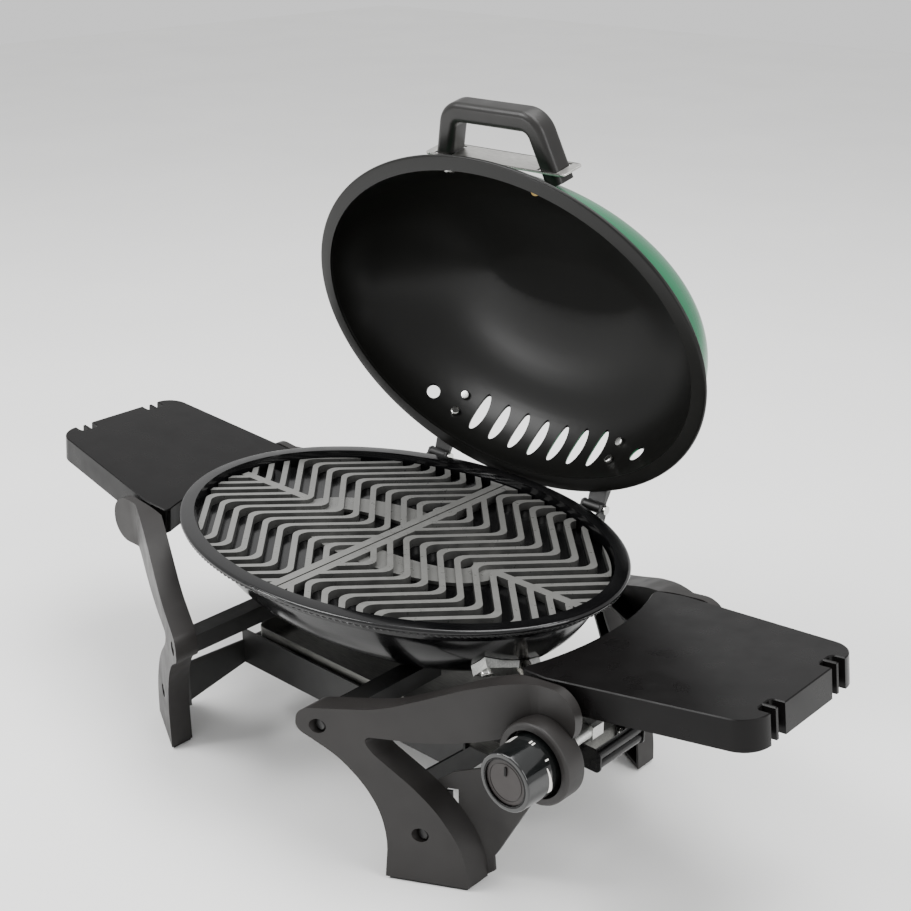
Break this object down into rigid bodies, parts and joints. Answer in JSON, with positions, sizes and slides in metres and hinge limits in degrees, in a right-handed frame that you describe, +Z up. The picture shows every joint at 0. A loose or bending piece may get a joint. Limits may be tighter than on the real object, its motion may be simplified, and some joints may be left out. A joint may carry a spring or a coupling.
{
  "type": "folding camp grill",
  "caption": "Portable gas grill with an oval bowl, hinged domed lid, zigzag cast grates, fold-up side tables, drip drawer and splayed moulded legs.",
  "frame": {"origin": "on the ground under the middle of the whole object's box, lid open and tables out", "axes": "+Z up, +X to the right of someone standing at the knob side, -Y towards that person"},
  "size_m": [0.9894, 0.5091, 0.6812],
  "materials": {
    "bowl_enamel": "glossy black vitreous enamel on steel",
    "lid_enamel": "green semi-gloss enamel outside, satin black inside",
    "chassis_paint": "satin black powder coat on sheet steel",
    "leg_plastic": "dark grey glass-filled nylon, fine moulded texture",
    "table_plastic": "near-black glass-filled nylon, satin",
    "handle_plastic": "dark grey phenolic",
    "rubber": "matte black rubber",
    "fastener_steel": "bright zinc-plated steel",
    "brass": "plain brass",
    "burner_steel": "stainless tube",
    "valve_alloy": "die-cast alloy",
    "tray_steel": "aluminised sheet steel",
    "guard_steel": "thin stainless strip",
    "knob_gloss": "gloss black phenolic",
    "knob_matte": "dark grey nylon insert",
    "mark_white": "white paint-filled mark",
    "cast_iron": "seasoned cast iron, satin"
  },
  "bodies": {
    "base": {"bowl": "bowl_enamel", "chassis_frame": "chassis_paint", "bowl_brackets": "chassis_paint", "leg_front_left": "leg_plastic", "leg_front_right": "leg_plastic", "leg_back_left": "leg_plastic", "leg_back_right": "leg_plastic", "leg_bolts": "chassis_paint", "foot_pads": "rubber", "burner": "burner_steel", "gas_valve": "valve_alloy", "gas_inlet": "valve_alloy", "burner_flange": "valve_alloy", "burner_bolts": "fastener_steel", "control_panel": "leg_plastic", "knob_bezel": "leg_plastic", "table_pins_left": "fastener_steel", "table_pins_right": "fastener_steel", "hinge_brackets": "chassis_paint", "hinge_pins": "fastener_steel"},
    "lid": {"lid_shell": "lid_enamel", "lid_handle": "handle_plastic", "lid_handle_bolt": "fastener_steel", "lid_wing_nut": "brass", "lid_heat_guard": "guard_steel", "lid_hinge_leaves": "chassis_paint", "lid_hinge_bolts": "fastener_steel"},
    "side_table_left": {"table_left": "table_plastic"},
    "side_table_right": {"table_right": "table_plastic"},
    "gas_knob": {"knob": "knob_gloss", "knob_face": "knob_matte", "knob_trim_ring": "knob_gloss", "knob_pointer": "knob_gloss"},
    "grease_drawer": {"grease_tray": "tray_steel", "tray_handle": "chassis_paint", "tray_rivets": "fastener_steel"},
    "left_grate": {"grate_left": "cast_iron"},
    "right_grate": {"grate_right": "cast_iron"}
  },
  "joints": [
    {"name": "lid_hinge", "type": "hinge", "parent": "base", "child": "lid", "pos_m": [0, 0.1638, 0.2529], "axis": [-1, 0, 0], "range_deg": [-77.5, 0]},
    {"name": "table_left_fold", "type": "hinge", "parent": "base", "child": "side_table_left", "pos_m": [-0.295, -0.0265, 0.209], "axis": [0, 1, 0], "range_deg": [0, 79]},
    {"name": "table_right_fold", "type": "hinge", "parent": "base", "child": "side_table_right", "pos_m": [0.295, -0.0265, 0.209], "axis": [0, -1, 0], "range_deg": [0, 79]},
    {"name": "knob_turn", "type": "hinge", "parent": "base", "child": "gas_knob", "pos_m": [0.306, -0.1765, 0.168], "axis": [0, -1, 0], "range_deg": [0, 120]},
    {"name": "drawer_slide", "type": "slide", "parent": "base", "child": "grease_drawer", "axis": [1, 0, 0], "range_m": [0, 0.2]},
    {"name": "grate_left_lift", "type": "slide", "parent": "base", "child": "left_grate", "axis": [0, 0, 1], "range_m": [0, 0.025]},
    {"name": "grate_right_lift", "type": "slide", "parent": "base", "child": "right_grate", "axis": [0, 0, 1], "range_m": [0, 0.025]}
  ]
}
